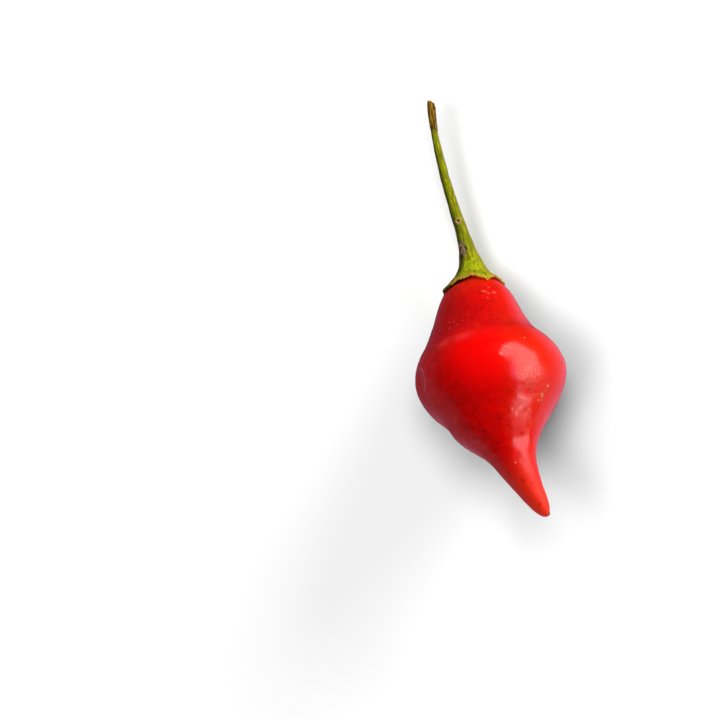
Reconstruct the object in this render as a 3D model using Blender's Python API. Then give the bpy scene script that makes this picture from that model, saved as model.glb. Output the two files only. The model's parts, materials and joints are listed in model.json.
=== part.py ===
"""Biquinho pepper, picked with its stalk and lying on its side.

The fruit is one berry: a cone-shaped neck, a round belly and a bent beak. The stalk and its calyx
grew as one green piece, which caps the neck. Both are formed round one core line, in the pepper's
own axes, and are then tilted together, so that the pepper rests on a small flat spot.

Sizes below are in millimetres, and the scene is in metres. In the pepper's own axes +Y runs from
the beak to the stalk, +X is to the right of it seen from above, and +Z is up.
"""

import math

import bmesh
import bpy
from mathutils import Vector

MM = 0.001

# How the pepper lies: the neck leans down towards the surface, and the beak stands off it. The
# belly's centre is placed so that the surface trims off the flat spot round the scene's origin.
NECK_DROP_DEG = 23.0
BELLY_CENTRE = (0.15, 1.55, 6.97)

# The line through the middle of the pepper, from the stalk's broken end to the beak's tip: the
# place along the fruit's axis, then how far the line stands to the right of that axis and above.
CORE_LINE = (
    (26.90, -1.68, 8.70),
    (24.35, -1.82, 7.40),
    (20.70, -1.55, 5.50),
    (17.05, -0.99, 3.55),
    (14.35, -0.50, 2.05),
    (12.85, -0.30, 1.20),
    (11.90, -0.20, 0.63),
    (10.90, -0.25, 0.15),
    (9.00, -0.31, 0.00),
    (6.70, -0.38, 0.00),
    (4.10, -0.46, 0.00),
    (2.10, -0.27, 0.00),
    (0.00, -0.08, 0.00),
    (-3.10, 0.04, 0.00),
    (-4.60, 0.10, 0.00),
    (-5.80, -0.03, 0.00),
    (-6.80, 0.02, -0.02),
    (-7.60, 0.21, -0.04),
    (-8.40, 0.52, -0.09),
    (-9.40, 0.83, -0.15),
    (-10.80, 1.22, -0.32),
    (-12.20, 1.74, -0.64),
    (-13.40, 2.26, -1.04),
    (-14.30, 2.66, -1.36),
    (-14.90, 2.93, -1.54),
    (-15.90, 3.36, -1.86),
)

# Below this place the cross-sections stand square to the axis. Above it they turn with the line.
SQUARE_BELOW = 10.0
TURN_FADE = 3.0

# The berry's radius along that line, from its crown under the calyx to its tip.
FRUIT_PROFILE = (
    (10.45, 0.00),
    (10.32, 1.10),
    (10.02, 2.05),
    (9.55, 2.68),
    (8.98, 3.25),
    (7.85, 3.87),
    (5.88, 4.60),
    (4.33, 5.30),
    (3.30, 5.93),
    (2.30, 6.68),
    (0.80, 7.38),
    (-0.90, 7.54),
    (-2.88, 6.76),
    (-4.60, 5.45),
    (-5.80, 4.68),
    (-6.80, 3.95),
    (-7.60, 3.32),
    (-8.40, 2.76),
    (-9.40, 2.26),
    (-10.80, 1.86),
    (-12.20, 1.48),
    (-13.40, 1.18),
    (-14.30, 0.89),
    (-14.85, 0.58),
    (-15.15, 0.30),
    (-15.25, 0.00),
)

# The berry isn't quite round: three broad lobes swell its belly a little.
LOBES = 3
LOBE_SHARE = 0.012
LOBE_TURN_DEG = 35.0

# The radius of the stalk and the calyx, and how far each place follows the calyx's wavy edge:
# down the stalk to the rim, then back under it, a gap clear of the berry's crown.
STALK_PROFILE = (
    (26.90, 0.00, 0.0),
    (26.80, 0.26, 0.0),
    (26.35, 0.35, 0.0),
    (24.60, 0.36, 0.0),
    (24.05, 0.34, 0.0),
    (21.40, 0.43, 0.0),
    (17.90, 0.52, 0.0),
    (15.30, 0.61, 0.0),
    (14.10, 0.72, 0.0),
    (13.00, 0.90, 0.0),
    (12.00, 1.26, 0.0),
    (11.25, 1.70, 0.0),
    (10.70, 2.14, 0.1),
    (10.25, 2.60, 0.4),
    (9.92, 2.98, 0.9),
    (9.74, 3.12, 1.0),
    (9.58, 3.10, 1.0),
    (9.62, 2.96, 0.9),
    (9.88, 2.60, 0.4),
    (10.30, 2.05, 0.0),
    (10.64, 1.10, 0.0),
    (10.75, 0.00, 0.0),
)

# The calyx ends in five short teeth, which lean out along the berry. The lowest is splayed out
# until it meets the surface.
TEETH = 5
TOOTH_LENGTH = 0.42
TOOTH_LEAN = 0.75
TOOTH_TURN_DEG = 61.6
RIM_WAVE = 0.10
LOWEST_SPLAY = 0.28

# The stalk's end is broken off at a slant, highest on its left.
BREAK_SLANT = 0.7
BREAK_LENGTH = 0.6

FRUIT_SIDES = 48
FRUIT_RINGS = 56
STALK_SIDES = 40
STALK_RINGS = 60
PROFILE_SAMPLES = 1200


def smooth(rows, at):
    """The row that a smooth curve through the rows holds at a place between two of them."""
    last = len(rows) - 1
    first = min(max(int(at), 0), last - 1)
    share = at - first
    around = (rows[max(first - 1, 0)], rows[first], rows[first + 1], rows[min(first + 2, last)])
    found = []
    for p0, p1, p2, p3 in zip(*around):
        start, end = (p2 - p0) / 2, (p3 - p1) / 2
        cubic = 2 * (p1 - p2) + start + end
        square = 3 * (p2 - p1) - 2 * start - end
        found.append(((cubic * share + square) * share + start) * share + p1)
    return found


def evenly(profile, count):
    """The profile's rows at count + 1 places, evenly spaced along its curve from end to end."""
    last = len(profile) - 1
    fine = [smooth(profile, last * i / PROFILE_SAMPLES) for i in range(PROFILE_SAMPLES + 1)]
    run = [0.0]
    for a, b in zip(fine, fine[1:]):
        run.append(run[-1] + math.dist(a[:2], b[:2]))
    rows = []
    at = 0
    for i in range(count):
        while run[at] < run[-1] * i / count:
            at += 1
        rows.append(fine[at])
    rows.append(fine[-1])
    return rows


def core_at(along):
    """The core line's point at a place along the axis."""
    k = 0
    while k < len(CORE_LINE) - 2 and along < CORE_LINE[k + 1][0]:
        k += 1
    high, low = CORE_LINE[k][0], CORE_LINE[k + 1][0]
    _, aside, above = smooth(CORE_LINE, k + (high - along) / (high - low))
    return Vector((aside, along, above))


def section_point(along, radius, angle):
    """The point at an angle round the core line: 0 is to the right, and 90 degrees is up.

    The sections stand square to the axis along the berry, and turn with the line along the stalk.
    """
    run = (core_at(along + 0.1) - core_at(along - 0.1)).normalized()
    turned = min(1.0, max(0.0, along - SQUARE_BELOW) / TURN_FADE)
    run = Vector((0, 1, 0)).lerp(run, turned)
    across = run.cross(Vector((0, 0, 1))).normalized()
    up = across.cross(run)
    return core_at(along) + radius * (math.cos(angle) * across + math.sin(angle) * up)


def form(name, rows, sides, point_at, material, collection):
    """A closed skin: a sphere whose rings are moved to the profile's rows by the formula."""
    skin = bmesh.new()
    bmesh.ops.create_uvsphere(skin, u_segments=sides, v_segments=len(rows) - 1, radius=1.0)
    for vert in skin.verts:
        from_pole = math.acos(max(-1.0, min(1.0, vert.co.z))) / math.pi
        row = rows[round(from_pole * (len(rows) - 1))]
        vert.co = MM * point_at(row, -math.atan2(vert.co.y, vert.co.x))
    mesh = bpy.data.meshes.new(name)
    skin.to_mesh(mesh)
    skin.free()
    mesh.shade_smooth()
    mesh.materials.append(material)
    piece = bpy.data.objects.new(name, mesh)
    collection.objects.link(piece)
    return piece


def fruit_point(row, angle):
    """The berry's skin at an angle round one of its rings."""
    along, radius = row
    swell = LOBE_SHARE * min(1.0, radius / 7.5) ** 2
    lobes = math.cos(LOBES * (angle - math.radians(LOBE_TURN_DEG)))
    return section_point(along, radius * (1 + swell * lobes), angle)


def stalk_point(row, angle):
    """The skin of the stalk and the calyx at an angle round one of their rings."""
    along, radius, edge = row
    pulse = (0.5 + 0.5 * math.cos(TEETH * (angle - math.radians(TOOTH_TURN_DEG)))) ** 2
    drop = edge * (TOOTH_LENGTH * pulse + RIM_WAVE * math.sin(2 * angle + 1.0))
    splay = LOWEST_SPLAY * edge * pulse * max(0.0, -math.sin(angle)) ** 4
    near_end = max(0.0, 1 - (STALK_PROFILE[0][0] - along) / BREAK_LENGTH)
    slant = near_end * BREAK_SLANT * radius * math.cos(angle)
    return section_point(along - drop - slant, radius + TOOTH_LEAN * drop + splay, angle)


def plain_material(name, colour, roughness):
    """A Principled material of one colour."""
    material = bpy.data.materials.new(name)
    material.use_nodes = True
    shader = material.node_tree.nodes["Principled BSDF"]
    shader.inputs["Base Color"].default_value = (*colour, 1.0)
    shader.inputs["Roughness"].default_value = roughness
    shader.inputs["Metallic"].default_value = 0.0
    return material


def new_collection(name):
    """A collection in the scene."""
    collection = bpy.data.collections.new(name)
    bpy.context.scene.collection.children.link(collection)
    return collection


def main():
    for old in list(bpy.data.objects):
        bpy.data.objects.remove(old, do_unlink=True)
    pepper = new_collection("biquinho_pepper")
    cutters = new_collection("cutters")

    # The empty holds the pepper as it lies.
    lie = bpy.data.objects.new("lie", None)
    lie.location = MM * Vector(BELLY_CENTRE)
    lie.rotation_euler = (-math.radians(NECK_DROP_DEG), 0, 0)
    pepper.objects.link(lie)

    red = plain_material("ripe_red_skin", (0.72, 0.01, 0.01), 0.25)
    green = plain_material("green_stalk", (0.32, 0.36, 0.03), 0.55)
    fruit_rows = evenly(FRUIT_PROFILE, FRUIT_RINGS)
    stalk_rows = evenly(STALK_PROFILE, STALK_RINGS)
    fruit = form("fruit", fruit_rows, FRUIT_SIDES, fruit_point, red, pepper)
    stalk = form("calyx_and_stalk", stalk_rows, STALK_SIDES, stalk_point, green, pepper)
    fruit.parent = lie
    stalk.parent = lie

    # The surface trims the belly's lowest point to a flat spot.
    bpy.ops.mesh.primitive_cube_add(size=0.04, location=(0, 0, -0.02))
    surface = bpy.context.active_object
    surface.name = "surface_cutter"
    surface.hide_render = True
    surface.display_type = "WIRE"
    for holder in list(surface.users_collection):
        holder.objects.unlink(surface)
    cutters.objects.link(surface)
    trim = fruit.modifiers.new("flat_spot", "BOOLEAN")
    trim.operation = "DIFFERENCE"
    trim.solver = "EXACT"
    trim.object = surface


if __name__ == "__main__":
    main()
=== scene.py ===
"""Biquinho pepper: a ripe red berry with its green calyx and stalk, lying on its side.

The file is laid out as an add-on. Each operator makes one piece, or the stage, from its own
group of settings. Tables are in millimetres, in the pepper's own axes: +Y runs from the beak to
the stalk, +X is to the right of it seen from above, and +Z is up. The scene is in metres.
"""

import json
from math import acos, atan2, cos, degrees, dist, exp, hypot, pi, radians, sin, tan

import bmesh
import bpy
from mathutils import Matrix, Vector, noise

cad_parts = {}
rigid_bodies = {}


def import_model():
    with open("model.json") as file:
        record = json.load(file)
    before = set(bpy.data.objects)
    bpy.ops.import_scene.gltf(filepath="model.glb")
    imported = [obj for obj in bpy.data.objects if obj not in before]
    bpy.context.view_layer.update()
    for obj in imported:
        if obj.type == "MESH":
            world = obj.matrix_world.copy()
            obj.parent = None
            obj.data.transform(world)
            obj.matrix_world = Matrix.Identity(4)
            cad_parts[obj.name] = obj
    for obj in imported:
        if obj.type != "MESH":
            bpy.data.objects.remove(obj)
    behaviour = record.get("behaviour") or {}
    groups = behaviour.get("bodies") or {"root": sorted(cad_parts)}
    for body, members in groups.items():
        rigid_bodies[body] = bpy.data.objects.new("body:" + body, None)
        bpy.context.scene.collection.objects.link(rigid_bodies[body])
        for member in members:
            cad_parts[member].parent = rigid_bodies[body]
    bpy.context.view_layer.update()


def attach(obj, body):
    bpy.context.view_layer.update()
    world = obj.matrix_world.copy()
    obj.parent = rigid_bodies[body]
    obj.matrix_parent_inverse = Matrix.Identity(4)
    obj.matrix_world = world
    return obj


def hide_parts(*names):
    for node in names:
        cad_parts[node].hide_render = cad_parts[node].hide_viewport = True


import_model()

bl_info = {
    "name": "Biquinho Pepper",
    "version": (1, 0, 0),
    "blender": (4, 5, 0),
    "location": "View3D > Sidebar > Pepper",
    "description": "Grows a ripe biquinho pepper with its calyx and stalk, on a pale stage",
    "category": "Add Mesh",
}

MM = 0.001

# How the pepper lies: its neck leans down towards the surface, and its beak stands off it.
NECK_DROP_DEG = 23.0
BELLY_CENTRE = (0.15, 1.55, 6.97)
LIE = Matrix.Translation(BELLY_CENTRE) @ Matrix.Rotation(-radians(NECK_DROP_DEG), 4, "X")

# The line through the middle of the pepper, from the stalk's broken end to the beak's tip: the
# place along the fruit's axis, then how far the line stands to the right of that axis and above.
CORE_LINE = (
    (26.90, -1.68, 8.70),
    (24.35, -1.82, 7.40),
    (20.70, -1.55, 5.50),
    (17.05, -0.99, 3.55),
    (14.35, -0.50, 2.05),
    (12.85, -0.30, 1.20),
    (11.90, -0.20, 0.63),
    (10.90, -0.25, 0.15),
    (9.00, -0.31, 0.00),
    (6.70, -0.38, 0.00),
    (4.10, -0.46, 0.00),
    (2.10, -0.27, 0.00),
    (0.00, -0.08, 0.00),
    (-3.10, 0.04, 0.00),
    (-4.60, 0.10, 0.00),
    (-5.80, -0.03, 0.00),
    (-6.80, 0.02, -0.02),
    (-7.60, 0.21, -0.04),
    (-8.40, 0.52, -0.09),
    (-9.40, 0.83, -0.15),
    (-10.80, 1.22, -0.32),
    (-12.20, 1.74, -0.64),
    (-13.40, 2.26, -1.04),
    (-14.30, 2.66, -1.36),
    (-14.90, 2.93, -1.54),
    (-15.90, 3.36, -1.86),
)
CORE_TOP = 28.0
CORE_END = -16.5
CORE_STEP = 0.05

# Below this place the cross-sections stand square to the axis. Above it they turn with the line.
SQUARE_BELOW = 10.0
TURN_FADE = 3.0

# The berry's radius along that line, from its crown under the calyx to its tip.
BERRY_PROFILE = (
    (10.45, 0.00),
    (10.32, 1.10),
    (10.02, 2.05),
    (9.55, 2.68),
    (8.98, 3.25),
    (7.85, 3.87),
    (5.88, 4.60),
    (4.33, 5.30),
    (3.30, 5.93),
    (2.30, 6.68),
    (0.80, 7.38),
    (-0.90, 7.54),
    (-2.88, 6.76),
    (-4.60, 5.45),
    (-5.80, 4.68),
    (-6.80, 3.95),
    (-7.60, 3.32),
    (-8.40, 2.76),
    (-9.40, 2.26),
    (-10.80, 1.86),
    (-12.20, 1.48),
    (-13.40, 1.18),
    (-14.30, 0.89),
    (-14.85, 0.58),
    (-15.15, 0.30),
    (-15.25, 0.00),
)
LOBES = 3
LOBE_SHARE = 0.012
LOBE_TURN_DEG = 35.0

# Soft swellings of the berry's skin, and dents where the height is below nought: the place along
# the pepper, the angle round it in degrees, how wide and how high.
BERRY_FORMS = (
    (-0.45, 160.0, 0.85, -0.20),
    (-0.60, 148.0, 0.45, 0.05),
    (1.75, 129.0, 0.75, 0.07),
    (1.80, 113.0, 0.80, 0.06),
    (1.65, 96.0, 0.70, 0.04),
    (-0.95, 81.5, 0.45, 0.05),
    (-0.30, 72.0, 0.60, -0.03),
    (-8.30, 63.0, 0.85, -0.16),
    (-9.60, 35.0, 0.16, -0.10),
    (-10.26, 72.0, 0.30, -0.04),
    (-12.10, 112.0, 0.28, -0.07),
    (-12.45, 86.0, 0.22, -0.04),
    (-9.50, 67.0, 0.50, 0.04),
    (-10.90, 60.0, 0.45, -0.05),
    (-11.80, 52.0, 0.50, 0.04),
    (-13.00, 62.0, 0.50, -0.04),
    (-15.10, 15.0, 0.20, 0.10),
)

# The dent on the left flank has a painted reflection round it, a paler ring: its place, the ring's
# radius and half its width. The ring shows only on the dent's upper side, between these heights.
DENT_SHEEN_RING = (-0.45, 160.0, 1.18, 0.22)
DENT_SHEEN_HEIGHTS = (1.8, 3.2)

# Dark specks in the skin: the place along the pepper, the angle round it and how wide. Each is
# darkest within the first share of its width, and ends at the second.
SPECK_SHARES = (0.20, 0.58)
BERRY_SPECKS = (
    (-1.00, 21.7, 0.30), (-2.65, 123.4, 0.30), (-0.31, 143.2, 0.32), (1.49, 136.0, 0.26),
    (0.88, 86.9, 0.22), (-7.12, 121.0, 0.34), (-6.45, 90.4, 0.28), (-7.45, 140.2, 0.16),
    (-0.45, 47.0, 0.20), (-9.65, 134.8, 0.22), (-12.08, 112.0, 0.24), (-14.30, 95.5, 0.26),
    (-9.61, 35.5, 0.30), (-2.40, -60.0, 0.28), (3.30, -35.0, 0.24), (-4.20, 200.0, 0.30),
    (5.10, 228.0, 0.22), (-7.90, -110.0, 0.26), (-0.80, -160.0, 0.24),
)

# Pale strokes on the skin, some of them painted sheen and painted highlight lines: the place along
# the pepper, the angle round it, the half length, the half width, how far the stroke is turned from
# the pepper's length and how strong it is.
PALE_STROKES_AND_PAINTED_SHEEN = (
    (7.50, 77.0, 0.45, 0.20, 80.0, 0.38),
    (7.20, 71.0, 0.26, 0.17, 70.0, 0.28),
    (7.28, 62.0, 0.42, 0.19, 95.0, 0.38),
    (7.95, 68.0, 0.24, 0.17, 60.0, 0.24),
    (6.60, 74.0, 0.26, 0.16, 50.0, 0.18),
    (1.72, 131.5, 0.24, 0.11, 80.0, 0.55),
    (1.66, 128.0, 0.22, 0.11, 80.0, 0.65),
    (1.72, 124.5, 0.20, 0.10, 80.0, 0.45),
    # Painted sheen: a broad soft pale band where the neck meets the belly on the left.
    (1.70, 126.0, 1.60, 0.85, 103.0, 0.10),
    (1.90, 108.0, 1.80, 0.85, 101.0, 0.08),
    (-0.95, 81.5, 0.38, 0.26, 40.0, 0.70),
    (-0.25, 76.0, 0.85, 0.16, 60.0, 0.25),
    (0.78, 59.1, 0.18, 0.13, 20.0, 0.80),
    # Painted highlight lines on the wrinkles below the belly on the right.
    (-5.83, 72.7, 0.55, 0.24, 16.0, 0.32),
    (-6.17, 67.1, 0.60, 0.24, 14.0, 0.36),
    (-5.67, 62.5, 0.65, 0.25, -34.0, 0.34),
    (-6.21, 53.8, 0.55, 0.24, -30.0, 0.24),
    (-5.78, 50.9, 0.65, 0.23, -35.0, 0.26),
    (-4.84, 62.6, 0.85, 0.28, 76.0, 0.32),
    (-10.36, 96.6, 0.15, 0.14, 0.0, 0.85),
    (-3.20, -45.0, 0.60, 0.16, 60.0, 0.30),
    (2.60, -80.0, 0.80, 0.18, 30.0, 0.25),
)

# Bands of rubbed skin with dry flecks in them, in the same terms without the strength.
SCUFFS = (
    (-4.60, 38.5, 1.45, 0.44, -20.0),
    (-3.60, 35.0, 0.60, 0.40, -20.0),
    (-9.61, 35.5, 0.30, 0.22, 20.0),
)

# Purplish patches beside the highlights, in the same terms as the strokes.
PURPLE_PATCHES = (
    (-2.60, 73.0, 1.40, 0.45, 4.0, 0.40),
    (-3.75, 69.0, 0.60, 0.40, 10.0, 0.35),
    (-8.80, 70.0, 0.55, 0.40, -20.0, 0.50),
)

# Areas of the berry's skin: the place along the pepper, the angle round it, and how far from there
# the area is full and where it ends.
# Painted shade: the left of the neck, on the side away from the light, is painted a deeper red.
NECK_PAINTED_SHADE = (5.0, 128.0, 1.0, 4.5)
# Painted light: the top of the belly, where the light falls most, is painted a brighter red.
PAINTED_LIGHT_TOP = (-0.5, 97.0, 1.5, 5.5)
DOTTED_NECK = (4.0, 123.0, 1.4, 3.0)
# Painted highlight: areas of pale speckles painted in the highlight.
PAINTED_HIGHLIGHT_MIDDLE = (-2.9, 57.0, 0.6, 1.8)
PAINTED_HIGHLIGHT_ROUND = (-1.5, 64.0, 0.6, 2.6)
RUBBED_SIDE = (-3.6, 46.0, 0.8, 2.4)
LINED_SIDE = (-7.6, 132.0, 0.8, 2.2)
SADDLE = (-6.8, 61.0, 0.3, 2.4)
NUB = (-15.0, 15.0, 0.12, 0.30)

# The painted shade on the crown under the calyx: how far above the calyx's edge it starts, how much
# further it shows on the left, where the edge is lifted between these angles, and how much less on
# the right.
CROWN_ABOVE = 0.18
CROWN_LIFT = 0.58
CROWN_LIFT_DEG = (102.0, 120.0, 155.0, 178.0)
CROWN_HIDDEN = 0.45

# Colours of the berry's marks.
PATCH_RED = (0.44, 0.001, 0.001)
# Painted shade on the left of the neck.
PAINTED_SHADE_RED = (0.48, 0.001, 0.001)
TIP_RED = (0.92, 0.022, 0.001)
SMALL_SPECK = (0.20, 0.004, 0.003)
FLECK_EDGE = (0.22, 0.03, 0.004)
# Painted shade under the calyx's edge.
CROWN_PAINTED_SHADE = (0.08, 0.003, 0.002)
NUB_BROWN = (0.12, 0.07, 0.015)

# The radius of the stalk and the calyx, and how far each place follows the calyx's ragged edge:
# down the stalk to the rim, then back under it, a gap clear of the berry's crown.
STALK_PROFILE = (
    (26.90, 0.00, 0.0),
    (26.80, 0.26, 0.0),
    (26.35, 0.35, 0.0),
    (24.60, 0.36, 0.0),
    (24.05, 0.34, 0.0),
    (21.40, 0.43, 0.0),
    (17.90, 0.52, 0.0),
    (15.30, 0.61, 0.0),
    (14.10, 0.72, 0.0),
    (13.00, 0.90, 0.0),
    (12.00, 1.26, 0.0),
    (11.25, 1.70, 0.0),
    (10.70, 2.14, 0.1),
    (10.25, 2.60, 0.4),
    (9.92, 2.98, 0.9),
    (9.76, 3.12, 1.0),
    (9.64, 3.10, 1.0),
    (9.68, 2.98, 0.9),
    (9.92, 2.66, 0.4),
    (10.34, 2.10, 0.0),
    (10.68, 1.12, 0.0),
    (10.78, 0.00, 0.0),
)

# The calyx's edge: where it is without its teeth, how far a tooth leans out as it hangs down, how
# far the lowest is splayed out to meet the surface, and how far the edge is tucked in on the right.
EDGE_ALONG = 9.64
EDGE_LEAN = 0.60
LOWEST_TOOTH_DEG = -82.4
LOWEST_SPLAY = 0.34
TUCKED_DEG = 20.0
TUCK = 0.14

# How the edge is frayed: how far, how far apart the frays are as a share of the rim's radius, and
# the seed of each set.
FRAYS = ((0.045, 0.22, 3.0), (0.030, 0.09, 5.0))

# How far the calyx's edge hangs down the berry, all the way round: the angle and the drop.
RIM_EDGE = (
    (-98.0, 0.16), (-90.0, 0.26), (LOWEST_TOOTH_DEG, 0.33), (-74.0, 0.22), (-55.0, -0.02),
    (-41.0, 0.34), (-28.0, 0.00), (-8.0, -0.02), (12.0, 0.34), (24.0, 0.08), (41.0, -0.06),
    (53.0, 0.18), (60.0, 0.42), (66.0, 0.80), (71.0, 0.46), (79.0, 0.20), (84.0, -0.04),
    (95.0, -0.14), (102.0, -0.06), (106.0, 0.20), (110.0, 0.00), (118.0, -0.06),
    (126.0, -0.02), (132.0, 0.18), (144.0, 0.24), (156.0, 0.46), (164.0, 0.16),
    (180.0, -0.05), (198.0, 0.02), (212.0, 0.40), (226.0, 0.06), (245.0, -0.02),
    (262.0, 0.16),
)

# Ribs round the calyx and the stalk, and the slant and the length of the stalk's broken end.
RIBS = 5
RIB_TURN_DEG = 61.6
BREAK_SLANT = 0.7
BREAK_LENGTH = 0.6

# Marks on the stalk: the place along the pepper and the angle round it in degrees.
BRANCH_SCAR = (16.04, 98.0)
BARK_PATCH = (13.64, 128.0)
DARK_NICK = (12.90, 144.0)
DARK_STREAK = (13.55, 100.0)

# The branch scar's ring, with its radius, its width and its height, and the pit inside it, with
# its width and its depth. Then the bark patch's half length and half width, its height, and the
# nick's width and depth.
SCAR_RING = (0.25, 0.075, 0.055)
SCAR_PIT = (0.12, 0.10)
BARK_SIZE = (0.85, 0.42)
BARK_HEIGHT = 0.035
NICK_SIZE = (0.20, 0.06)

# The stalk's dry end: where it starts, and the side, in radians, on which it starts furthest up.
DRY_END_FROM = 24.35
DRY_SIDE = 2.6

# These marks are longer than they are wide: what a distance counts for, axis by axis.
SCAR_SCALE = (1.0, 0.78, 1.0)
BARK_SCALE = (1.0, 0.46, 1.0)
STREAK_SCALE = (1.0, 0.4, 1.0)

# Places on the calyx's rim, as a row of the profile and an angle: a crumpled peak, and the tooth
# on the left, which is brown throughout.
RIM_PEAK = ((9.80, 3.0, 1.0), 88.0)
LEFT_TOOTH = ((9.75, 3.1, 1.0), 152.0)

# Colours of the marks on the calyx and the stalk.
BROWN_CLOUD = (0.19, 0.12, 0.004)
BRIGHT_STREAK = (0.50, 0.60, 0.002)
DARK_BLOTCH = (0.10, 0.11, 0.003)
RIGHT_OLIVE = (0.24, 0.17, 0.003)
# Painted shade on the left side of the calyx and the stalk.
LEFT_PAINTED_SHADE_GREEN = (0.07, 0.07, 0.003)
RIM_BROWN = (0.24, 0.10, 0.012)
TOOTH_BROWNS = ((0.035, 0.015, 0.004), (0.22, 0.10, 0.02))
# The inner face's red: dark on the left as painted shade, and bright on the right.
INNER_REDS_AND_PAINTED_SHADE = ((0.11, 0.010, 0.006), (0.95, 0.04, 0.012))
SCAR_TANS = ((0.30, 0.13, 0.03), (0.58, 0.38, 0.15))
SCAR_BLACK = (0.030, 0.010, 0.004)
BARK_BROWNS = ((0.10, 0.05, 0.03), (0.38, 0.25, 0.14))
NICK_BLACK = (0.03, 0.014, 0.006)
HUSK_BROWNS = ((0.33, 0.18, 0.012), (0.05, 0.018, 0.006))

# The soft box, which makes the highlight: how far off it is, its direction and half its angles.
SOFT_BOX_AWAY = 0.30
SOFT_BOX_WAY = (18.0, 38.5)
SOFT_BOX_HALF = (43.0, 23.5)

# Soft lights that make no highlight: the name, what is lit, the bearing, the angle above the
# floor, how strong and how wide.
SOFT_LIGHTS = (
    ("side", "pepper", 28.0, 30.0, 0.49, 60.0),
    ("fill", "pepper", 41.0, 59.0, 0.95, 100.0),
    ("over_left", "floor", 180.0, 68.0, 0.33, 28.0),
    ("crisp_left", "floor", 180.0, 64.0, 0.13, 18.0),
    ("over_back", "floor", 90.0, 68.0, 0.43, 28.0),
    ("over_corner", "floor", 135.0, 48.0, 0.13, 28.0),
    ("low", "floor", 45.0, 14.0, 0.23, 28.0),
)

# The room's brightness all round and its tint, and its bright sides: the bearing, the angle above
# the floor and how bright. Each fades out by this angle from its middle, and all of them between
# these heights, a little above the level of the floor.
ROOM_DIM = 0.03
ROOM_TINT = (1.45, 0.70, 1.02, 1.0)
ROOM_SIDES = (
    (0.0, -42.0, 0.66),
    (270.0, -42.0, 0.55),
    (270.0, -12.0, 2.60),
    (300.0, -12.0, 0.50),
    (210.0, -12.0, 0.12),
    (180.0, -40.0, 0.12),
    (0.0, -90.0, 0.05),
)
ROOM_SIDE_DEG = 45.0
ROOM_FADE = (-0.05, 0.12)

# How bright the floor is in the light that it throws back on the pepper's sides: on the side of
# this bearing, and on the side away from it.
FLOOR_GLOW_DEG = 215.0
FLOOR_GLOW = (0.85, 0.35)

# The camera looks straight down: the place that it stands over, how far it is turned, its lens and
# sensor, and how near and how far it sees, in metres.
CAMERA_OVER = (-12.61, 5.07)
CAMERA_TURN_DEG = 8.9
CAMERA_LENS = 221.25
CAMERA_SENSOR = 36.0
CAMERA_SEES = (0.01, 10.0)
WHITE = (1.0, 1.0, 1.0, 1.0)

# How finely the pieces are made.
BERRY_SIDES = 300
BERRY_RINGS = 290
STALK_SIDES = 200
STALK_RINGS = 420
PROFILE_SAMPLES = 6000


def smooth(rows, at):
    """The row that a smooth curve through the rows holds at a place between two of them."""
    last = len(rows) - 1
    first = min(max(int(at), 0), last - 1)
    share = at - first
    around = (rows[max(first - 1, 0)], rows[first], rows[first + 1], rows[min(first + 2, last)])
    found = []
    for p0, p1, p2, p3 in zip(*around):
        start, end = (p2 - p0) / 2, (p3 - p1) / 2
        cubic = 2 * (p1 - p2) + start + end
        square = 3 * (p2 - p1) - 2 * start - end
        found.append(((cubic * share + square) * share + start) * share + p1)
    return found


def evenly(profile, count):
    """The profile's rows at count + 1 places, evenly spaced along its curve from end to end."""
    last = len(profile) - 1
    fine = [smooth(profile, last * i / PROFILE_SAMPLES) for i in range(PROFILE_SAMPLES + 1)]
    run = [0.0]
    for a, b in zip(fine, fine[1:]):
        run.append(run[-1] + dist(a, b))
    rows = []
    at = 0
    for i in range(count):
        while run[at] < run[-1] * i / count:
            at += 1
        rows.append(fine[at])
    rows.append(fine[-1])
    return rows


def core_at(along):
    """The core line's point at a place along the axis."""
    k = 0
    while k < len(CORE_LINE) - 2 and along < CORE_LINE[k + 1][0]:
        k += 1
    high, low = CORE_LINE[k][0], CORE_LINE[k + 1][0]
    _, aside, above = smooth(CORE_LINE, k + (high - along) / (high - low))
    return Vector((aside, along, above))


def core_section(along):
    """The core line's point there, and the directions to the right and up in its section."""
    run = (core_at(along + 0.1) - core_at(along - 0.1)).normalized()
    turned = min(1.0, max(0.0, along - SQUARE_BELOW) / TURN_FADE)
    run = Vector((0, 1, 0)).lerp(run, turned)
    across = run.cross(Vector((0, 0, 1))).normalized()
    return core_at(along), across, across.cross(run)


CORE_SECTIONS = [
    core_section(CORE_TOP - k * CORE_STEP)
    for k in range(int((CORE_TOP - CORE_END) / CORE_STEP) + 2)
]


def section_point(along, radius, angle):
    """The point at an angle round the core line: 0 is to the right, and 90 degrees is up."""
    at = min(max((CORE_TOP - along) / CORE_STEP, 0.0), len(CORE_SECTIONS) - 1.001)
    k = int(at)
    middle, across, up = (
        a.lerp(b, at - k) for a, b in zip(CORE_SECTIONS[k], CORE_SECTIONS[k + 1])
    )
    return middle + radius * (cos(angle) * across + sin(angle) * up)


def radius_at(profile, along):
    """The radius of the skin at a place along the pepper, from the side that faces out."""
    for a, b in zip(profile, profile[1:]):
        if b[0] <= along <= a[0]:
            return a[1] + (b[1] - a[1]) * (a[0] - along) / (a[0] - b[0])
    return profile[-1][1]


def soft_step(value, low, high):
    """0 below low, 1 above high and a smooth rise between them."""
    share = min(1.0, max(0.0, (value - low) / (high - low)))
    return share * share * (3 - 2 * share)


def wander(point, size, seed):
    """A smooth random number between about -1 and 1, whose hills are about this far apart."""
    return 1.6 * noise.noise(point / size + Vector((seed, 2.3 * seed, -1.7 * seed)))


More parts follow.
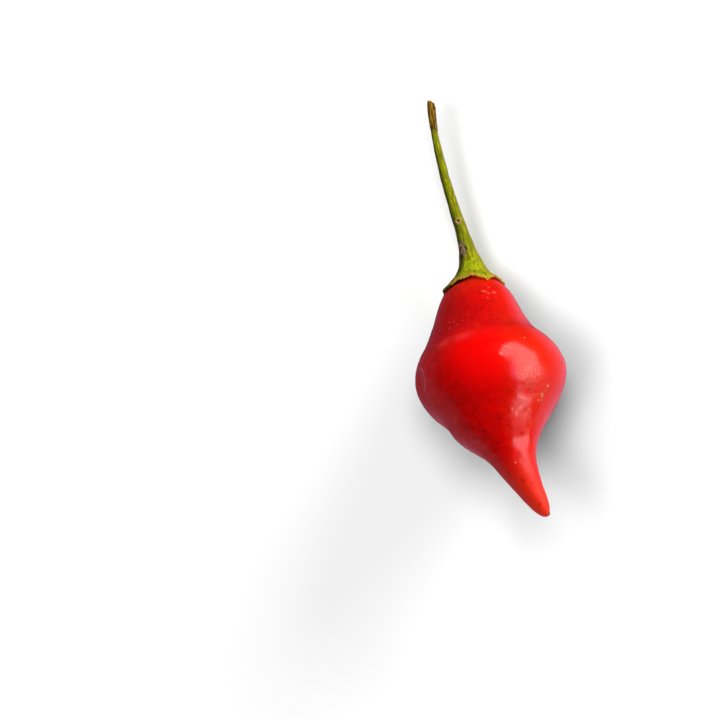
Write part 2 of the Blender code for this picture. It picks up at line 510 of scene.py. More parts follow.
def grown(name, rows, sides, point_at, relief):
    """A closed skin, smooth shaded: rings of points by the formula, then raised by the relief.

    Gives the mesh, and each point's row, angle and smooth place, for the marks made on it.
    """
    skin = bmesh.new()
    bmesh.ops.create_uvsphere(skin, u_segments=sides, v_segments=len(rows) - 1, radius=1.0)
    placed = []
    for vert in skin.verts:
        from_pole = acos(max(-1.0, min(1.0, vert.co.z))) / pi
        row = rows[round(from_pole * (len(rows) - 1))]
        angle = -atan2(vert.co.y, vert.co.x)
        vert.co = point_at(row, angle)
        placed.append((row, angle, vert.co.copy()))
    skin.normal_update()
    raised = [
        vert.co + vert.normal * relief(*where) for vert, where in zip(skin.verts, placed)
    ]
    for vert, point in zip(skin.verts, raised):
        vert.co = LIE @ point
        vert.co.z = max(vert.co.z, 0.0)
        vert.co *= MM
    mesh = bpy.data.meshes.new(name)
    skin.to_mesh(mesh)
    skin.free()
    mesh.shade_smooth()
    return mesh, placed


def show(name, mesh, material):
    """Puts a piece into the scene, in its finish."""
    mesh.materials.append(material)
    piece = bpy.data.objects.new(name, mesh)
    bpy.context.scene.collection.objects.link(piece)
    return piece


def note(mesh, name, kind, values):
    """Writes a number or a vector for each point of the mesh, for its material to read."""
    field = "vector" if kind == "FLOAT_VECTOR" else "value"
    made = mesh.attributes.new(name, kind, "POINT")
    made.data.foreach_set(field, [n for v in values for n in v] if field == "vector" else values)


class Nodes:
    """A node tree, built up node by node."""

    def __init__(self, tree):
        self.tree = tree

    def feed(self, socket, source):
        """Joins a socket to another, or gives it a value."""
        if isinstance(source, bpy.types.NodeSocket):
            self.tree.links.new(source, socket)
        elif source is not None:
            socket.default_value = source

    def node(self, kind, *sources, **settings):
        """Adds a shader node and feeds its inputs in order. None leaves one as it is."""
        made = self.tree.nodes.new("ShaderNode" + kind)
        for name, value in settings.items():
            setattr(made, name, value)
        for socket, source in zip(made.inputs, sources):
            self.feed(socket, source)
        return made

    def split(self, vector):
        """A vector's three numbers."""
        return self.node("SeparateXYZ", vector).outputs

    def facing(self, way, side):
        """How far a direction points to a side, from 1 to -1."""
        made = self.node("VectorMath", way, side, operation="DOT_PRODUCT")
        return made.outputs["Value"]

    def maths(self, operation, a, b=None, c=None):
        """A sum of numbers."""
        return self.node("Math", a, b, c, operation=operation).outputs[0]

    def times(self, a, b, plus=None):
        """One number times another, with more added to it where that is given."""
        if plus is None:
            return self.maths("MULTIPLY", a, b)
        return self.maths("MULTIPLY_ADD", a, b, plus)

    def most(self, shares):
        """The largest of some numbers."""
        found = shares[0]
        for share in shares[1:]:
            found = self.maths("MAXIMUM", found, share)
        return found

    def between(self, value, low, high, to_low=0.0, to_high=1.0):
        """A smooth step from one number to another as the value goes from low to high."""
        if low > high:
            low, high, to_low, to_high = high, low, to_high, to_low
        return self.node(
            "MapRange", value, low, high, to_low, to_high,
            interpolation_type="SMOOTHSTEP",
        ).outputs[0]


class Finish(Nodes):
    """A Principled material, built up node by node. Lengths are in millimetres."""

    def __init__(self, name):
        self.material = bpy.data.materials.new(name)
        self.material.use_nodes = True
        super().__init__(self.material.node_tree)
        self.shader = self.tree.nodes["Principled BSDF"]
        self.colour = None

    def set(self, **numbers):
        """Sets the shader's own sockets, named with _ for each space."""
        for name, value in numbers.items():
            self.shader.inputs[name.replace("_", " ")].default_value = value

    def place(self):
        """The point's place in the pepper's own axes, in millimetres."""
        where = self.node("TexCoord")
        turned = (-radians(NECK_DROP_DEG), 0, 0)
        middle = MM * Vector(BELLY_CENTRE)
        mapped = self.node(
            "Mapping", where.outputs["Object"], middle, turned, (MM,) * 3,
            vector_type="TEXTURE",
        )
        return mapped.outputs[0]

    def noted(self, name, output="Fac"):
        """What note() wrote for the point."""
        return self.node("Attribute", attribute_name=name).outputs[output]

    def stretched(self, vector, scale):
        """A vector multiplied axis by axis."""
        return self.node("VectorMath", vector, scale, operation="MULTIPLY").outputs[0]

    def size(self, vector):
        """A vector's length."""
        return self.node("VectorMath", vector, operation="LENGTH").outputs["Value"]

    def noise(self, vector, scale, detail=2.0, rough=0.5, bend=0.0):
        """Cloudy noise from 0 to 1."""
        made = self.node("TexNoise")
        for name, value in (("Vector", vector), ("Scale", scale), ("Detail", detail),
                            ("Roughness", rough), ("Distortion", bend)):
            self.feed(made.inputs[name], value)
        return made.outputs["Fac"]

    def stirred(self, value, noise, much):
        """A number that a noise raises and lowers, by up to half of this much."""
        return self.times(self.maths("SUBTRACT", noise, 0.5), much, value)

    def dots(self, vector, scale, width, kept):
        """Small round dots, one in some of the cells: kept is the share of cells with one."""
        made = self.node("TexVoronoi")
        self.feed(made.inputs["Vector"], vector)
        self.feed(made.inputs["Scale"], scale)
        dot = self.between(made.outputs["Distance"], width, 0.5 * width)
        chance = self.split(made.outputs["Color"])[0]
        return self.times(dot, self.between(chance, 1 - kept, 1.001 - kept))

    def far(self, place, point, scale=None):
        """How far off a point is, with both of them stretched where a scale is given."""
        if scale:
            place = self.stretched(place, scale)
            point = [a * b for a, b in zip(point, scale)]
        made = self.node("VectorMath", place, point, operation="DISTANCE")
        return made.outputs["Value"]

    def near(self, place, point, inside, outside, scale=None):
        """1 within a distance of a point, and 0 beyond another."""
        return self.between(self.far(place, point, scale), outside, inside)

    def area(self, place, along, angle_deg, inside, outside):
        """1 in the middle of an area of the berry's skin, and 0 outside it."""
        return self.near(place, berry_mark(along, angle_deg), inside, outside)

    def stroke(self, place, along, angle_deg, length, width, turn_deg):
        """1 in the middle of a stroke on the berry and 0 outside it."""
        here = berry_mark(along, angle_deg)
        onward = (berry_mark(along + 0.05, angle_deg) - here).normalized()
        round_way = berry_mark(along, angle_deg + 0.5) - here
        outward = onward.cross(round_way).normalized()
        way = Matrix.Rotation(radians(turn_deg), 3, outward) @ onward
        axes = Matrix((way, outward.cross(way), outward)).transposed()
        mapped = self.node(
            "Mapping", place, here, axes.to_euler(), (length, width, 0.5),
            vector_type="TEXTURE",
        ).outputs[0]
        return self.between(self.size(mapped), 1.0, 0.0)

    def strokes(self, place, table):
        """The strokes of a table, each as strong as its last number says."""
        return [self.times(self.stroke(place, *mark), strong) for *mark, strong in table]

    def blend(self, share, start, end):
        """One colour laid over another."""
        made = self.node("Mix", data_type="RGBA")
        colours = [s for s in made.inputs if s.type == "RGBA"]
        self.feed(made.inputs[0], share)
        for socket, colour in zip(colours, (start, end)):
            self.feed(socket, colour if isinstance(colour, bpy.types.NodeSocket)
                      else (*colour[:3], 1.0))
        return made.outputs[2]

    def coat(self, share, over):
        """Lays a colour over the finish's colour so far."""
        self.colour = self.blend(share, self.colour, over)

    def relief(self, height):
        """Bumps, from a height in millimetres."""
        bump = self.node("Bump")
        bump.inputs["Strength"].default_value = 1.0
        bump.inputs["Distance"].default_value = MM
        self.feed(bump.inputs["Height"], height)
        self.feed(self.shader.inputs["Normal"], bump.outputs[0])


# The berry --------------------


def berry_point(row, angle):
    """The berry's smooth skin at an angle round one of its rings."""
    along, radius = row
    swell = LOBE_SHARE * min(1.0, radius / 7.5) ** 2
    lobes = cos(LOBES * (angle - radians(LOBE_TURN_DEG)))
    return section_point(along, radius * (1 + swell * lobes), angle)


def berry_mark(along, angle_deg):
    """The place on the berry's skin of a mark given in a table."""
    return berry_point((along, radius_at(BERRY_PROFILE, along)), radians(angle_deg))


def berry_relief(settings):
    """How far the berry's real skin stands out from the smooth one."""
    forms = [(berry_mark(a, d), wide, high) for a, d, wide, high in BERRY_FORMS]
    broad, ripple = settings.unevenness / MM, settings.ripple / MM

    def height(row, angle, point):
        room = min(1.0, row[1] / 2.5)
        found = room * broad * wander(point, 4.5, 1.3)
        found += room * 0.45 * broad * wander(point, 2.2, 4.1)
        found += (0.3 + 0.7 * room) * ripple * wander(point, 1.0, 7.9)
        for middle, wide, high in forms:
            off = (point - middle).length / wide
            if off < 3.0:
                found += high * exp(-off * off)
        return found

    return height


def painted_shade_under_edge(row, angle):
    """1 on the crown under the calyx's edge, where shade is painted dark on the skin, and 0 below
    it.
    """
    turn = degrees(angle) % 360.0
    low, full, fading, high = CROWN_LIFT_DEG
    lifted = soft_step(turn, low, full) * soft_step(turn, high, fading)
    start = EDGE_ALONG - edge_drop(angle) + CROWN_ABOVE - CROWN_LIFT * lifted
    start += CROWN_HIDDEN * max(0.0, cos(angle))
    return soft_step(row[0], start - 0.12, start + 0.10)


def ripe_skin(settings):
    """The berry's finish: taut red skin under a thin wax, with specks, scuffs and fine lines."""
    skin = Finish("ripe_red_skin_waxed")
    place = skin.place()
    aside, along, above = skin.split(place)
    cloud = skin.noise(place, scale=0.33, detail=3.0, rough=0.55)
    patchy = skin.noise(place, scale=0.85, detail=3.0, rough=0.6)
    mottle = skin.noise(place, scale=1.5, detail=4.0, rough=0.62)
    grain = skin.noise(place, scale=4.5, detail=3.0, rough=0.6)

    # The ripe red, deeper in patches, with painted shade, a deeper red, on the left of the neck,
    # painted light on top of the belly and, with a warmer red, on its right side, and a warmer red
    # under the calyx and down the beak.
    grained = skin.stirred(mottle, grain, 0.8)
    skin.colour = skin.blend(skin.between(grained, 0.36, 0.64), settings.deep_red, settings.red)
    skin.coat(skin.between(patchy, 0.50, 0.68, 0.0, 0.55), PATCH_RED)
    # Painted shade on the left of the neck.
    skin.coat(skin.times(skin.area(place, *NECK_PAINTED_SHADE), 0.7), PAINTED_SHADE_RED)
    # Painted light on top of the belly.
    skin.coat(skin.area(place, *PAINTED_LIGHT_TOP), settings.painted_light_red)
    # Painted light: the right side, towards the light, is painted a warmer, brighter red. The
    # crown's warmer red below is the skin's own.
    skin.coat(skin.between(skin.times(cloud, 3.0, aside), 1.0, 7.0, 0.0, 0.8), settings.warm_red_and_painted_light)
    skin.coat(skin.between(skin.times(cloud, 2.5, along), 7.5, 12.0, 0.0, 0.7), settings.warm_red_and_painted_light)
    tip = skin.between(skin.times(mottle, 1.5, along), -8.5, -13.5, 0.0, 0.8)
    skin.coat(tip, TIP_RED)

    # Tiny pale dots, thickest on the left of the neck, pale strokes with painted sheen and painted
    # highlight lines among them, and pale speckles painted in the highlight as painted highlight.
    dotted = skin.times(skin.area(place, *DOTTED_NECK), 0.38, 0.05)
    dots = skin.times(skin.dots(place, scale=2.7, width=0.20, kept=0.75), dotted)
    painted_highlight = skin.between(skin.noise(place, scale=6.5, detail=3.0, rough=0.65), 0.46, 0.66)
    painted_highlight_round = skin.times(skin.area(place, *PAINTED_HIGHLIGHT_ROUND), 0.14)
    painted_highlight = skin.times(painted_highlight, skin.times(skin.area(place, *PAINTED_HIGHLIGHT_MIDDLE), 0.42, painted_highlight_round))
    pale = skin.most([dots, painted_highlight, *skin.strokes(place, PALE_STROKES_AND_PAINTED_SHEEN)])
    skin.coat(pale, settings.pale)
    skin.coat(skin.most(skin.strokes(place, PURPLE_PATCHES)), settings.purple)

    # The painted reflection round the dent, a paler ring on its upper side.
    *dent, radius, half_width = DENT_SHEEN_RING
    from_sheen_ring = skin.maths("SUBTRACT", skin.far(place, berry_mark(*dent)), radius)
    from_sheen_ring = skin.maths("ABSOLUTE", skin.stirred(from_sheen_ring, mottle, 0.5))
    ring = skin.between(from_sheen_ring, half_width, 0.0, 0.0, 0.6)
    ring = skin.times(ring, skin.between(above, *DENT_SHEEN_HEIGHTS))
    skin.coat(ring, settings.dent_reflection_pink)

    # Dark specks, and the smaller ones between them.
    core, end = SPECK_SHARES
    specks = skin.most([
        skin.near(place, berry_mark(a, d), core * wide, end * wide) for a, d, wide in BERRY_SPECKS
    ])
    small = skin.dots(place, scale=0.55, width=0.045, kept=0.6)
    skin.coat(skin.times(small, 0.5), SMALL_SPECK)
    skin.coat(skin.times(specks, 0.75), settings.speck)

    # Dry flecks in the scuffs, dark round the outside and golden in the middle.
    scuffs = skin.most([skin.stroke(place, *mark) for mark in SCUFFS])
    flaky = skin.noise(skin.stretched(place, (1.0, 0.7, 1.0)), scale=4.8, rough=0.6)
    flaky = skin.times(scuffs, 0.14, flaky)
    scuffs = skin.between(scuffs, 0.05, 0.3)
    halo = skin.times(skin.between(flaky, 0.60, 0.67), scuffs)
    chip = skin.times(skin.between(flaky, 0.67, 0.72), scuffs)
    skin.coat(skin.times(halo, 0.75), FLECK_EDGE)
    skin.coat(skin.times(chip, 0.9), settings.dry)

    # The painted shade on the crown under the calyx, and the brown nub at the tip.
    skin.coat(skin.times(skin.noted("painted_shade_under_edge"), 0.92), CROWN_PAINTED_SHADE)
    skin.coat(skin.area(place, *NUB), NUB_BROWN)
    skin.feed(skin.shader.inputs["Base Color"], skin.colour)

    # Rubbed skin on the right below the belly, and fine lines on the left above the beak.
    rubbed = skin.area(place, *RUBBED_SIDE)
    rub = skin.noise(skin.stretched(place, (1.0, 0.55, 1.0)), 2.6, 3.0, rough=0.6, bend=0.6)
    rub = skin.between(skin.maths("ABSOLUTE", skin.maths("SUBTRACT", rub, 0.5)), 0.0, 0.10)
    lines = skin.noise(skin.stretched(place, (0.30, 1.0, 0.30)), 3.6, bend=0.4)
    lines = skin.times(lines, skin.area(place, *LINED_SIDE))

    pebble = settings.pebble / MM
    height = skin.times(mottle, pebble)
    for share, high in (
        (grain, 0.35 * pebble), (specks, -0.02), (chip, 0.02),
        (skin.times(rub, rubbed), 0.014), (lines, 0.06),
    ):
        height = skin.times(share, high, height)
    skin.relief(height)

    # The shine is duller down the beak, and where the skin is rubbed or flaky.
    shine = settings.roughness
    rough = skin.between(mottle, 0.3, 0.7, shine - 0.02, shine + 0.04)
    down_beak = skin.between(skin.times(patchy, 3.0, along), -6.0, -11.0, 0.0, 0.42)
    saddle = skin.between(mottle, 0.40, 0.60, 0.25, 1.0)
    saddle = skin.times(skin.area(place, *SADDLE), saddle)
    for share, duller in ((rubbed, 0.04), (down_beak, 1.0), (saddle, 0.34), (halo, 0.35)):
        rough = skin.times(share, duller, rough)
    skin.feed(skin.shader.inputs["Roughness"], rough)
    skin.set(IOR=1.45)
    return skin.material


# The calyx and the stalk --------------------


def edge_drop(angle):
    """How far the calyx's edge hangs down the berry at an angle round it."""
    turn = degrees(angle) % 360.0
    turn -= 360.0 if turn >= RIM_EDGE[-1][0] else 0.0
    for (a, low), (b, high) in zip(RIM_EDGE, RIM_EDGE[1:]):
        if a <= turn <= b:
            return low + (high - low) * (turn - a) / (b - a)
    return RIM_EDGE[0][1]


def stalk_point(row, angle):
    """The smooth skin of the stalk and the calyx at an angle round one of their rings."""
    along, radius, edge = row
    round_way = Vector((cos(angle), sin(angle), 0))
    frayed = sum(much * wander(round_way, size, seed) for much, size, seed in FRAYS)
    drop = edge * (edge_drop(angle) + frayed)
    lowest = max(0.0, cos(angle - radians(LOWEST_TOOTH_DEG))) ** 20
    tucked = max(0.0, cos(angle - radians(TUCKED_DEG))) ** 4
    splay = LOWEST_SPLAY * lowest + 0.05 * wander(round_way, 0.16, 8.0) - TUCK * tucked
    near_end = max(0.0, 1 - (STALK_PROFILE[0][0] - along) / BREAK_LENGTH)
    slant = near_end * BREAK_SLANT * radius * cos(angle)
    return section_point(along - drop - slant, radius + EDGE_LEAN * drop + edge * splay, angle)


def stalk_mark(along, angle_deg):
    """The place on the stalk's smooth skin of a mark given by its place and angle."""
    return stalk_point((along, radius_at(STALK_PROFILE, along), 0.0), radians(angle_deg))


def unrolled(row, angle):
    """The point as if the stalk were straight, so that its streaks can follow it."""
    return Vector((row[1] * cos(angle), row[0], row[1] * sin(angle)))


def stalk_relief(settings):
    """How far the real skin of the stalk and the calyx stands out from the smooth one."""
    scar, patch, nick = (stalk_mark(*m) for m in (BRANCH_SCAR, BARK_PATCH, DARK_NICK))
    ribs, crumple = settings.ribs / MM, settings.crumple / MM

    def height(row, angle, point):
        along, radius, edge = row
        straight = unrolled(row, angle)
        rib_turn = RIBS * (angle - radians(RIB_TURN_DEG))
        flare = soft_step(along, 17.0, 12.0) * soft_step(along, 9.5, 10.6)
        room = min(1.0, radius / 0.3)
        found = room * ribs * flare * (cos(rib_turn) + 0.5 * cos(2 * rib_turn + 1.0))
        fine = straight * 1.0
        fine.y *= 0.12
        found += room * 0.55 * ribs * wander(fine, 0.22, 2.0)
        found += room * 0.40 * ribs * wander(straight, 0.9, 6.0)
        found += crumple * soft_step(edge, 0.2, 1.0) * wander(point, 0.22, 9.0)
        found += 0.5 * crumple * soft_step(edge, 0.3, 1.0) * wander(point, 0.10, 12.0)

        off = (point - scar).length
        ring, width, high = SCAR_RING
        found += high * exp(-(((off - ring) / width) ** 2))
        pit, deep = SCAR_PIT
        found -= deep * exp(-((off / pit) ** 2))

        away = point - patch
        half_length, half_width = BARK_SIZE
        off = hypot(away.y / half_length, hypot(away.x, away.z) / half_width)
        found += soft_step(off, 1.15, 0.85) * BARK_HEIGHT * (1 + wander(point, 0.16, 14.0))
        wide, deep = NICK_SIZE
        found -= deep * exp(-(((point - nick).length / wide) ** 2))

        from_side = cos(angle - DRY_SIDE)
        dry = soft_step(along - 0.22 * from_side, DRY_END_FROM - 0.08, DRY_END_FROM + 0.10)
        wrinkle = cos(6 * angle + 2.5 * wander(straight, 0.8, 15.0))
        found += room * dry * (0.035 * max(0.0, from_side) + 0.028 * wrinkle)
        found += room * dry * 0.03 * wander(point, 0.20, 16.0)
        return found

    return height


def stalk_skin(settings):
    """The finish of the stalk and the calyx: streaked green, with a dry rim and a dry end."""
    skin = Finish("green_stalk_streaked")
    straight, edge = skin.noted("straight", "Vector"), skin.noted("edge")
    place = skin.place()
    aside, along, _ = skin.split(straight)

    def along_stalk(share, **amounts):
        """Noise drawn out along the stalk, where its length counts for this share."""
        return skin.noise(skin.stretched(straight, (1.0, share, 1.0)), **amounts)

    streaks = along_stalk(0.16, scale=4.2, detail=3.0, rough=0.6)
    threads = along_stalk(0.10, scale=10.0, detail=3.0, rough=0.6)
    bright = along_stalk(0.25, scale=5.5)
    blotch = along_stalk(0.5, scale=2.6, detail=3.0, rough=0.6)
    cloud = skin.noise(straight, scale=0.9, detail=3.0, rough=0.6)
    crumb = skin.noise(place, scale=7.0, detail=3.0, rough=0.65)
    radius = skin.size(skin.stretched(straight, (1.0, 0.0, 1.0)))
    side = skin.maths("DIVIDE", aside, skin.maths("MAXIMUM", radius, 0.05))
    side = skin.stirred(side, cloud, 1.2)

    # Lime on the calyx and olive up the stalk, with streaks, threads and blotches, olive on the
    # right, and painted shade, a dark green, on the left.
    skin.colour = settings.lime
    for share, over in (
        (skin.between(along, 11.0, 14.5, 0.0, 0.78), settings.olive),
        (skin.between(streaks, 0.42, 0.62, 0.0, 0.7), settings.olive),
        (skin.between(threads, 0.55, 0.70, 0.0, 0.6), settings.moss),
        (skin.between(cloud, 0.50, 0.66, 0.0, 0.45), BROWN_CLOUD),
        (skin.between(bright, 0.56, 0.68, 0.0, 0.6), BRIGHT_STREAK),
        (skin.between(blotch, 0.52, 0.66, 0.0, 0.75), DARK_BLOTCH),
        (skin.between(side, 0.35, 0.95, 0.0, 0.5), RIGHT_OLIVE),
        (skin.between(side, -0.30, -0.85, 0.0, 0.9), LEFT_PAINTED_SHADE_GREEN),
    ):
        skin.coat(share, over)

    # The dry rim, from green through gold to a brown edge; the left tooth is brown throughout. The
    # calyx's inner face is stained red by the berry, with painted shade darkening it on the left.
    peak, tooth = (stalk_point(row, radians(deg)) for row, deg in (RIM_PEAK, LEFT_TOOTH))
    ragged = skin.stirred(edge, crumb, 0.5)
    ragged = skin.times(skin.near(place, peak, 0.2, 0.8), 0.35, ragged)
    skin.coat(skin.between(ragged, 0.70, 0.92), settings.gold)
    browned = skin.times(skin.between(ragged, 0.8, 1.0), skin.between(crumb, 0.48, 0.62))
    skin.coat(browned, RIM_BROWN)
    tooth_brown = skin.blend(crumb, *TOOTH_BROWNS)
    skin.coat(skin.near(place, tooth, 0.35, 1.0), tooth_brown)
    inner_red_and_shade = skin.blend(skin.between(side, -0.2, 0.3), *INNER_REDS_AND_PAINTED_SHADE)
    skin.coat(skin.times(skin.noted("inner"), 0.95), inner_red_and_shade)

    # The branch scar, the bark patch with its dark nick and streak, and the dry end.
    from_scar = skin.stirred(skin.far(place, stalk_mark(*BRANCH_SCAR), SCAR_SCALE), crumb, 0.22)
    ring = skin.times(skin.between(from_scar, 0.37, 0.27), skin.between(from_scar, 0.10, 0.20))
    bark = skin.blend(skin.between(crumb, 0.40, 0.60), *SCAR_TANS)
    skin.coat(ring, bark)
    skin.coat(skin.between(from_scar, 0.17, 0.08), SCAR_BLACK)
    from_patch = skin.stirred(skin.far(place, stalk_mark(*BARK_PATCH), BARK_SCALE), crumb, 0.45)
    bark = skin.blend(skin.between(crumb, 0.42, 0.60), *BARK_BROWNS)
    skin.coat(skin.between(from_patch, 0.52, 0.34), bark)
    for mark, reach, scale in ((DARK_NICK, 0.32, None), (DARK_STREAK, 0.17, STREAK_SCALE)):
        dark = skin.near(place, stalk_mark(*mark), 0.3 * reach, reach, scale)
        skin.coat(dark, NICK_BLACK)
    dry = skin.stirred(along, cloud, 1.6)
    dry = skin.between(dry, DRY_END_FROM - 0.35, DRY_END_FROM + 0.15)
    husk = skin.blend(skin.between(threads, 0.40, 0.60), *HUSK_BROWNS)
    skin.coat(dry, husk)
    skin.feed(skin.shader.inputs["Base Color"], skin.colour)

    height = skin.times(threads, 0.030)
    skin.relief(skin.times(crumb, skin.between(ragged, 0.3, 0.8, 0.008, 0.05), height))
    dull = skin.most([dry, skin.between(ragged, 0.5, 0.8), skin.between(from_patch, 0.5, 0.4)])
    rough = skin.between(dull, 0.0, 1.0, settings.roughness, 0.85)
    skin.feed(skin.shader.inputs["Roughness"], rough)
    skin.set(IOR=1.20)
    return skin.material


# Settings --------------------


def number(name, description, default, least=0.0, most=1000.0, **more):
    """A number setting."""
    return bpy.props.FloatProperty(
        name=name, description=description, default=default, min=least, max=most, **more
    )


def length(name, description, default, most):
    """A length setting, in metres."""
    return number(name, description, default, 0.0, most, precision=6, unit="LENGTH")


def dullness(description, default):
    """The roughness setting of a skin."""
    return number("Roughness", description, default, 0.05, 1.0, subtype="FACTOR")


def colour(name, description, default):
    """A colour setting."""
    return bpy.props.FloatVectorProperty(
        name=name, description=description, default=default, size=3, min=0.0, max=1.0,
        subtype="COLOR",
    )


class BerrySettings(bpy.types.PropertyGroup):
    """Sizes and colours of the berry."""

    unevenness: length("Unevenness", "Depth of the broad hollows in the skin", 0.000045, 0.001)
    ripple: length("Ripple", "Depth of the small waves in the skin", 0.000012, 0.0002)
    pebble: length("Pebble", "Depth of the skin's finest grain", 0.000014, 0.0001)
    roughness: dullness("How soft the shine is", 0.18)
    red: colour("Red", "Colour of the ripe skin", (0.70, 0.001, 0.0005))
    deep_red: colour("Deep red", "Colour of its deeper patches", (0.56, 0.001, 0.0005))
    # Painted light on top of the belly.
    painted_light_red: colour("Bright red", "Colour on top of the belly", (0.90, 0.001, 0.0005))
    # The warm red is painted light on the right side, and the skin's own colour on the crown.
    warm_red_and_painted_light: colour("Warm red", "Colour on its warm side, crown and tip", (0.80, 0.018, 0.001))
    # The pale colour also serves the painted highlight speckles and the painted sheen and highlight
    # strokes.
    pale: colour("Pale", "Colour of the pale strokes and dots", (0.95, 0.25, 0.20))
    # Painted reflection round the dent.
    dent_reflection_pink: colour("Rosy", "Colour round the dent", (0.90, 0.10, 0.16))
    purple: colour("Purple", "Colour of the patches beside the highlights", (0.85, 0.003, 0.10))
    dry: colour("Dry", "Colour of the dry flecks", (0.80, 0.45, 0.10))
    speck: colour("Speck", "Colour of the dark specks", (0.05, 0.006, 0.004))


class StalkSettings(bpy.types.PropertyGroup):
    """Sizes and colours of the calyx and the stalk."""

    ribs: length("Ribs", "Height of the ribs along the stalk", 0.000045, 0.0003)
    crumple: length("Crumple", "Depth of the crumples in the dry rim", 0.00006, 0.0005)
    roughness: dullness("How dull the green skin is", 0.6)
    lime: colour("Lime", "Colour of the calyx", (0.42, 0.48, 0.003))
    olive: colour("Olive", "Colour of the stalk", (0.21, 0.21, 0.002))
    moss: colour("Moss", "Colour of the dark threads", (0.07, 0.10, 0.004))
    gold: colour("Gold", "Colour of the dry rim", (0.62, 0.36, 0.03))


class StudioSettings(bpy.types.PropertyGroup):
    """Sizes and strengths of the stage and its light."""

    floor_size: length("Floor", "Length of the floor's side", 6.0, 50.0)
    floor_tone: colour("Floor tone", "Colour of the floor", (0.86, 0.86, 0.86))
    key_light: number("Key light", "Brightness of the soft box in the highlights", 3.6)
    fill_light: number("Fill light", "Strength of the soft light on the pepper", 1.0)
    floor_light: number("Floor light", "Strength of the soft light on the floor", 1.0)
    room_light: number("Room light", "Brightness of the room on its bright sides", 1.0)
    camera_height: length("Camera height", "Height of the camera above the floor", 0.45, 5.0)


# Operators --------------------


class PEPPER_OT_berry(bpy.types.Operator):
    """Grow the ripe red berry, with its neck, belly and bent beak"""

    bl_idname = "pepper.berry"
    bl_label = "Grow Berry"

    def execute(self, context):
        settings = context.scene.pepper_berry
        rows = evenly(BERRY_PROFILE, BERRY_RINGS)
        mesh, placed = grown("berry_skin", rows, BERRY_SIDES, berry_point, berry_relief(settings))
        note(mesh, "painted_shade_under_edge", "FLOAT", [painted_shade_under_edge(row, angle) for row, angle, _ in placed])
        piece = show("berry_skin", mesh, ripe_skin(settings))
        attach(piece, "root")
        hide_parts("fruit")
        return {"FINISHED"}


class PEPPER_OT_calyx_and_stalk(bpy.types.Operator):
    """Grow the green calyx with its dry ragged rim, and the long thin stalk"""

    bl_idname = "pepper.calyx_and_stalk"
    bl_label = "Grow Calyx and Stalk"

    def execute(self, context):
        settings = context.scene.pepper_stalk
        rows = evenly(STALK_PROFILE, STALK_RINGS)
        mesh, placed = grown(
            "calyx_and_stalk_skin", rows, STALK_SIDES, stalk_point, stalk_relief(settings)
        )
        note(mesh, "straight", "FLOAT_VECTOR", [unrolled(row, angle) for row, angle, _ in placed])
        note(mesh, "edge", "FLOAT", [row[2] for row, _, _ in placed])
        lowest = min(range(len(rows)), key=lambda k: rows[k][0])
        inner = {tuple(row) for row in rows[lowest + 1:]}
        note(mesh, "inner", "FLOAT", [float(tuple(row) in inner) for row, _, _ in placed])
        piece = show("calyx_and_stalk_skin", mesh, stalk_skin(settings))
        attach(piece, "root")
        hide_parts("calyx_and_stalk")
        return {"FINISHED"}


def pointing(bearing_deg, high_deg):
    """The direction with this bearing, from +X towards +Y, at this angle above the floor."""
    bearing, high = radians(bearing_deg), radians(high_deg)
    return Vector((cos(high) * cos(bearing), cos(high) * sin(bearing), sin(high)))


def lamp(name, kind, lit, towards, **settings):
    """A lamp in that direction, which lights only some objects and isn't seen itself."""
    light = bpy.data.lights.new(name, kind)
    for setting, value in settings.items():
        setattr(light, setting, value)
    holder = bpy.data.objects.new(name, light)
    holder.rotation_euler = towards.to_track_quat("Z", "Y").to_euler()
    holder.visible_camera = False
    bpy.context.scene.collection.objects.link(holder)
    chosen = bpy.data.collections.new(f"lit_by_{name}")
    for each in lit:
        chosen.objects.link(each)
    holder.light_linking.receiver_collection = chosen
    return holder


def room(brightness):
    """The room round the stage: pale where it is seen, and otherwise dim but for some sides."""
    world = bpy.data.worlds.new("room")
    world.use_nodes = True
    air = Nodes(world.node_tree)

    # What the pepper's skin mirrors.
    way = air.node("TexCoord").outputs["Generated"]
    strength = 0.0
    for bearing, high, bright in ROOM_SIDES:
        facing = air.facing(way, pointing(bearing, high))
        faded = cos(radians(ROOM_SIDE_DEG))
        lit = air.between(facing, faded, 1.0, 0.0, bright * brightness)
        strength = air.maths("ADD", lit, strength)
    low = air.between(air.split(way)[2], *ROOM_FADE, 1.0, 0.0)
    strength = air.times(strength, low, ROOM_DIM)
    mirrored = air.node("Background", ROOM_TINT, strength)

    # The light that the floor throws back on it, and the room as it is seen.
    facing = air.facing(way, pointing(FLOOR_GLOW_DEG, 0.0))
    glow = air.node("MapRange", facing, -1.0, 1.0, *reversed(FLOOR_GLOW)).outputs[0]
    thrown = air.node("Background", WHITE, air.times(low, glow))
    pale = air.node("Background", WHITE, 1.0)
    ray = air.node("LightPath").outputs
    for seen_by, other in (("Is Diffuse Ray", thrown), ("Is Camera Ray", pale)):
        mirrored = air.node("MixShader", ray[seen_by], mirrored.outputs[0], other.outputs[0])
    air.feed(air.tree.nodes["World Output"].inputs[0], mirrored.outputs[0])
    world.cycles.sampling_method = "NONE"
    return world


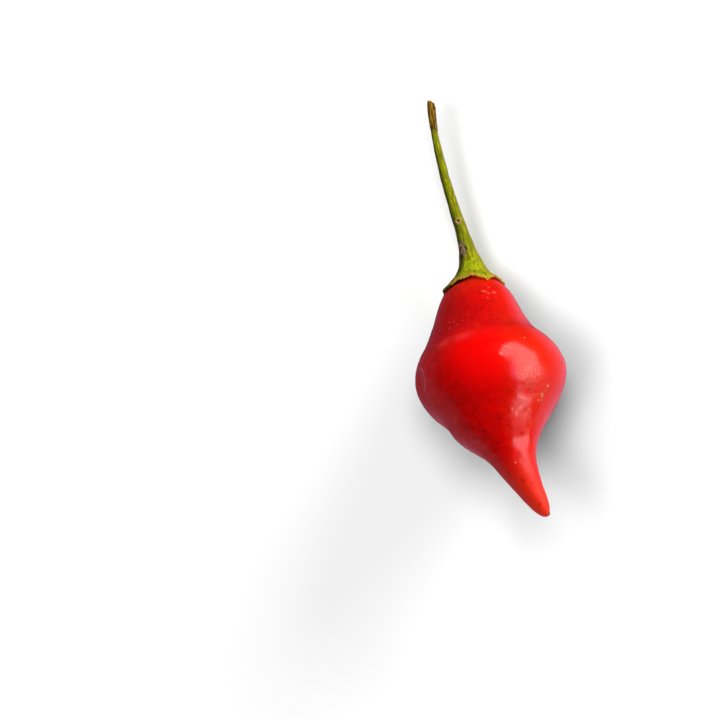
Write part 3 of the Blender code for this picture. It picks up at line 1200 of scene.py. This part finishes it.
class PEPPER_OT_studio(bpy.types.Operator):
    """Set up the pale floor, the soft light and the camera"""

    bl_idname = "pepper.studio"
    bl_label = "Set Up Studio"

    def execute(self, context):
        settings = context.scene.pepper_studio
        pieces = [bpy.data.objects[n] for n in ("berry_skin", "calyx_and_stalk_skin")]

        paper = Finish("pale_paper")
        paper.set(Base_Color=(*settings.floor_tone, 1.0), Roughness=1.0, Specular_IOR_Level=0.0)
        sheet = bmesh.new()
        bmesh.ops.create_grid(sheet, x_segments=2, y_segments=2, size=settings.floor_size / 2)
        mesh = bpy.data.meshes.new("floor")
        sheet.to_mesh(mesh)
        sheet.free()
        floor = show("floor", mesh, paper.material)

        floor.visible_glossy = False
        floor.visible_diffuse = False
        pieces[0].visible_diffuse = False

        towards = pointing(*SOFT_BOX_WAY)
        wide, tall = (2 * SOFT_BOX_AWAY * tan(radians(half)) for half in SOFT_BOX_HALF)
        key = lamp("soft_box", "AREA", pieces, towards, shape="RECTANGLE", size=wide, size_y=tall,
                   energy=settings.key_light * pi * wide * tall)
        key.location = SOFT_BOX_AWAY * towards + MM * Vector(BELLY_CENTRE)
        key.visible_diffuse = False
        for name, lit, bearing, high, strong, wide_deg in SOFT_LIGHTS:
            towards = pointing(bearing, high)
            if lit == "floor":
                strong *= settings.floor_light / towards.z
            else:
                strong *= settings.fill_light
            soft = lamp(name, "SUN", [floor] if lit == "floor" else pieces, towards,
                        energy=pi * strong, angle=radians(wide_deg))
            soft.visible_glossy = False
            soft.data.cycles.use_multiple_importance_sampling = False
        context.scene.world = room(settings.room_light)

        view = bpy.data.cameras.new("camera")
        view.lens, view.sensor_width, view.sensor_fit = CAMERA_LENS, CAMERA_SENSOR, "HORIZONTAL"
        view.clip_start, view.clip_end = CAMERA_SEES
        camera = bpy.data.objects.new("camera", view)
        camera.location = (*(MM * at for at in CAMERA_OVER), settings.camera_height)
        camera.rotation_euler = (0.0, 0.0, -radians(CAMERA_TURN_DEG))
        context.scene.collection.objects.link(camera)
        context.scene.camera = camera
        context.scene.view_settings.view_transform = "Standard"
        return {"FINISHED"}


class PEPPER_PT_panel(bpy.types.Panel):
    """Lists the pepper's pieces and their settings"""

    bl_idname = "PEPPER_PT_panel"
    bl_label = "Biquinho Pepper"
    bl_space_type = "VIEW_3D"
    bl_region_type = "UI"
    bl_category = "Pepper"

    def draw(self, context):
        for operator, group in (
            (PEPPER_OT_berry, context.scene.pepper_berry),
            (PEPPER_OT_calyx_and_stalk, context.scene.pepper_stalk),
            (PEPPER_OT_studio, context.scene.pepper_studio),
        ):
            box = self.layout.box()
            box.operator(operator.bl_idname)
            for name in group.bl_rna.properties.keys():
                if name not in ("rna_type", "name"):
                    box.prop(group, name)


GROUPS = (
    ("pepper_berry", BerrySettings),
    ("pepper_stalk", StalkSettings),
    ("pepper_studio", StudioSettings),
)
OTHERS = (PEPPER_OT_berry, PEPPER_OT_calyx_and_stalk, PEPPER_OT_studio, PEPPER_PT_panel)


def register():
    """Adds the settings, the operators and the panel."""
    for name, group in GROUPS:
        bpy.utils.register_class(group)
        setattr(bpy.types.Scene, name, bpy.props.PointerProperty(type=group))
    for each in OTHERS:
        bpy.utils.register_class(each)


def unregister():
    """Takes them away again."""
    for each in reversed(OTHERS):
        bpy.utils.unregister_class(each)
    for name, group in reversed(GROUPS):
        delattr(bpy.types.Scene, name)
        bpy.utils.unregister_class(group)


def main():
    """Makes the pepper and its stage."""
    register()
    bpy.ops.pepper.berry()
    bpy.ops.pepper.calyx_and_stalk()
    bpy.ops.pepper.studio()


if __name__ == "__main__":
    main()
